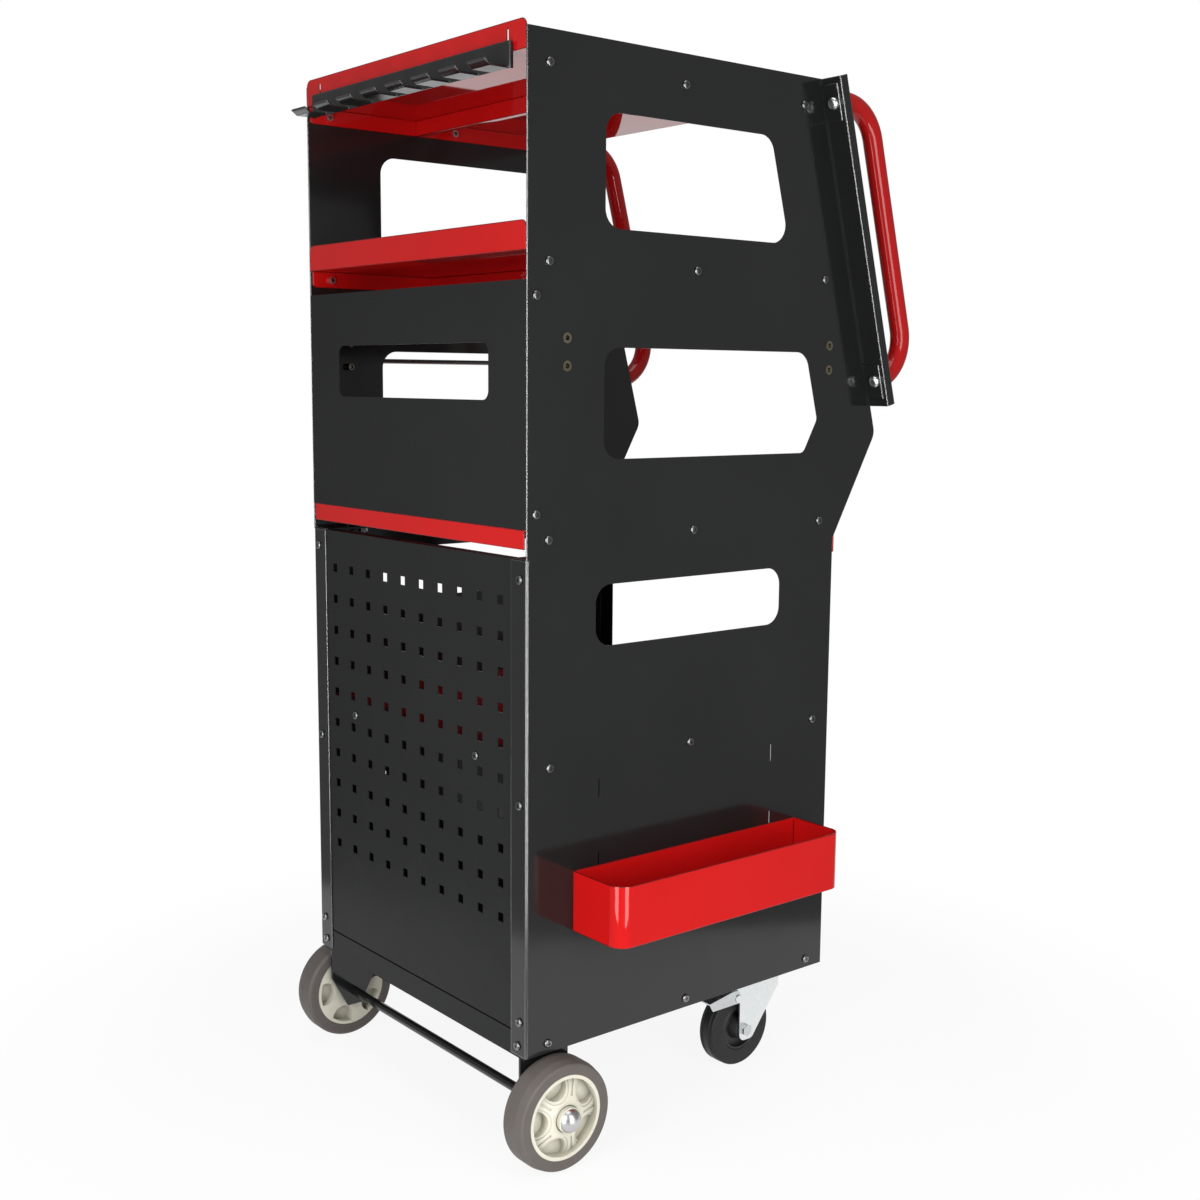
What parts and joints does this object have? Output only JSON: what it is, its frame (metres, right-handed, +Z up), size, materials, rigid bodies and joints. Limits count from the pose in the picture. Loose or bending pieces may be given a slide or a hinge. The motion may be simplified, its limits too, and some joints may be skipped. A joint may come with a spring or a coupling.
{
  "type": "diagnostics trolley",
  "caption": "Upright sheet-metal diagnostics trolley: open trays above a perforated cabinet, with side handles, hook rail, hung side tray, rear wheels and braked castors.",
  "frame": {"origin": "middle of the part's footprint, on the floor", "axes": "+Z up; the user's side with the handles and castors faces -Y, the perforated rear faces +Y"},
  "size_m": [0.5548, 0.5881, 1.1853],
  "materials": {
    "black_coat": "semi-gloss powder coat",
    "red_coat": "gloss powder coat",
    "zinc": "bright zinc plate",
    "dark_zinc": "dark zinc plate",
    "chrome": "polished",
    "grey_rubber": "matte",
    "dark_rubber": "matte",
    "cream_plastic": "satin",
    "dark_plastic": "satin",
    "nylon": "satin"
  },
  "bodies": {
    "frame": {"upper_panel_left": "black_coat", "lower_panel_left": "black_coat", "handle_channel_left": "black_coat", "handle_left": "red_coat", "axle_bracket_left": "black_coat", "upper_panel_right": "black_coat", "lower_panel_right": "black_coat", "handle_channel_right": "black_coat", "handle_right": "red_coat", "axle_bracket_right": "black_coat", "rear_panel": "black_coat", "pegboard": "black_coat", "base_pan": "black_coat", "hanging_rod": "black_coat", "rod_brackets": "black_coat", "castor_mounts": "black_coat", "rear_axle": "black_coat", "top_tray": "red_coat", "middle_tray": "red_coat", "bottom_shelf": "red_coat", "mid_shelf": "red_coat", "tray_stiffeners": "red_coat", "front_rail": "red_coat", "panel_screws": "dark_zinc", "rod_screws": "dark_zinc", "panel_nuts": "zinc", "joint_bolts": "zinc", "joint_nuts": "zinc", "threaded_inserts": "zinc", "handle_bolts": "zinc", "axle_spacers": "zinc", "castor_plates": "zinc", "castor_kingpins": "zinc", "underside_bolts": "zinc", "underside_nuts": "zinc", "castor_bolts": "zinc", "castor_bolt_nuts": "zinc", "axle_caps": "chrome"},
    "rear_wheel_left": {"wheel_tyre_left": "grey_rubber", "wheel_hub_left": "cream_plastic", "wheel_bush_left": "nylon"},
    "castor_swivel_left": {"castor_fork_left": "zinc", "castor_axle_left": "zinc", "brake_rivets_left": "zinc"},
    "castor_wheel_left": {"castor_tyre_left": "dark_rubber", "castor_hub_left": "dark_plastic"},
    "brake_left": {"brake_lever_left": "zinc"},
    "rear_wheel_right": {"wheel_tyre_right": "grey_rubber", "wheel_hub_right": "cream_plastic", "wheel_bush_right": "nylon"},
    "castor_swivel_right": {"castor_fork_right": "zinc", "castor_axle_right": "zinc", "brake_rivets_right": "zinc"},
    "castor_wheel_right": {"castor_tyre_right": "dark_rubber", "castor_hub_right": "dark_plastic"},
    "brake_right": {"brake_lever_right": "zinc"},
    "side_tray": {"side_tray": "red_coat"},
    "hook_rail": {"hook_rail": "black_coat"}
  },
  "joints": [
    {"name": "rear_wheel_left_spin", "type": "hinge", "parent": "frame", "child": "rear_wheel_left", "pos_m": [-0.2064, 0.22415, 0.061], "axis": [1, 0, 0], "continuous": true},
    {"name": "castor_left_swivel", "type": "hinge", "parent": "frame", "child": "castor_swivel_left", "pos_m": [-0.1354, -0.14205, 0.1145], "axis": [0, 0, 1], "continuous": true},
    {"name": "castor_left_spin", "type": "hinge", "parent": "castor_swivel_left", "child": "castor_wheel_left", "pos_m": [-0.1354, -0.10805, 0.048], "axis": [1, 0, 0], "continuous": true},
    {"name": "brake_left_press", "type": "hinge", "parent": "castor_swivel_left", "child": "brake_left", "pos_m": [-0.1354, -0.09405, 0.0915], "axis": [-1, 0, 0], "range_deg": [0, 15]},
    {"name": "rear_wheel_right_spin", "type": "hinge", "parent": "frame", "child": "rear_wheel_right", "pos_m": [0.2441, 0.22415, 0.061], "axis": [1, 0, 0], "continuous": true},
    {"name": "castor_right_swivel", "type": "hinge", "parent": "frame", "child": "castor_swivel_right", "pos_m": [0.1731, -0.14205, 0.1145], "axis": [0, 0, 1], "continuous": true},
    {"name": "castor_right_spin", "type": "hinge", "parent": "castor_swivel_right", "child": "castor_wheel_right", "pos_m": [0.1731, -0.10805, 0.048], "axis": [1, 0, 0], "continuous": true},
    {"name": "brake_right_press", "type": "hinge", "parent": "castor_swivel_right", "child": "brake_right", "pos_m": [0.1731, -0.09405, 0.0915], "axis": [-1, 0, 0], "range_deg": [0, 15]},
    {"name": "side_tray_lift", "type": "slide", "parent": "frame", "child": "side_tray", "axis": [0, 0, 1], "range_m": [0, 0.01]},
    {"name": "hook_rail_lift", "type": "slide", "parent": "frame", "child": "hook_rail", "axis": [0, 0, 1], "range_m": [0, 0.008]}
  ]
}
